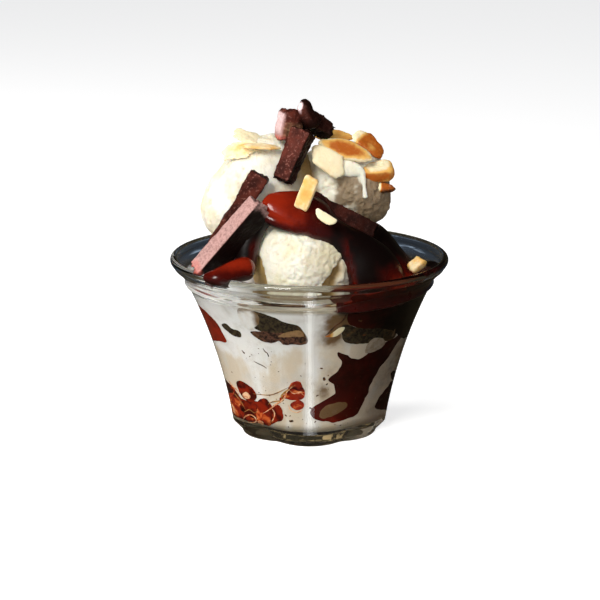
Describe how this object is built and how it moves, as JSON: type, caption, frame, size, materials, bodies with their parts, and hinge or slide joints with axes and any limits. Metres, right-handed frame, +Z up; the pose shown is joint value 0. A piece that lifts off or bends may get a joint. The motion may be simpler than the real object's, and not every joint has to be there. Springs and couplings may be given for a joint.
{
  "type": "ice cream sundae",
  "caption": "Vanilla ice cream sundae in a flared, lobed pressed-glass dish, topped with chocolate sauce, chocolate bars and almond flakes.",
  "frame": {"origin": "centre of the dish's foot, on the surface that it stands on", "axes": "+Z up, -Y towards the front of the sundae, +X to the right as seen from the front"},
  "size_m": [0.12, 0.12, 0.1468],
  "materials": {
    "clear_glass": "clear pressed glass, polished",
    "vanilla_ice_cream": "soft matt with a fine scooped grain",
    "chocolate_sauce": "wet and glossy",
    "dark_chocolate": "satin, rough where it is broken",
    "brownie": "matt crumb with a smooth top skin",
    "almond": "matt",
    "toasted_almond": "matt, browned"
  },
  "bodies": {
    "root": {"glass_dish": "clear_glass", "ice_cream_fill": "vanilla_ice_cream", "scoop_front": "vanilla_ice_cream", "scoop_left": "vanilla_ice_cream", "scoop_right": "vanilla_ice_cream", "chocolate_sauce": "chocolate_sauce", "sauce_dollop": "chocolate_sauce", "sauce_ripple": "chocolate_sauce", "sauce_streak_left": "chocolate_sauce", "sauce_streak_right": "chocolate_sauce", "brownie_at_wall": "brownie", "chocolate_at_wall_right": "dark_chocolate", "chocolate_at_wall_left": "dark_chocolate", "chocolate_bar_left": "dark_chocolate", "chocolate_stick_left": "dark_chocolate", "chocolate_bar_top": "dark_chocolate", "chocolate_nugget": "dark_chocolate", "chocolate_curl": "dark_chocolate", "chocolate_chunk": "dark_chocolate", "chocolate_slab_right": "dark_chocolate", "almond_at_wall": "almond", "almond_broad": "almond", "almond_edge": "almond", "almond_sliver_upright": "almond", "almond_sliver_sauce": "almond", "almond_left_low": "almond", "almond_left_mid": "almond", "almond_left_top": "almond", "almond_toasted": "toasted_almond", "almond_back": "toasted_almond", "almond_block": "toasted_almond", "almond_stub": "toasted_almond", "almond_at_rim": "toasted_almond"}
  },
  "joints": []
}
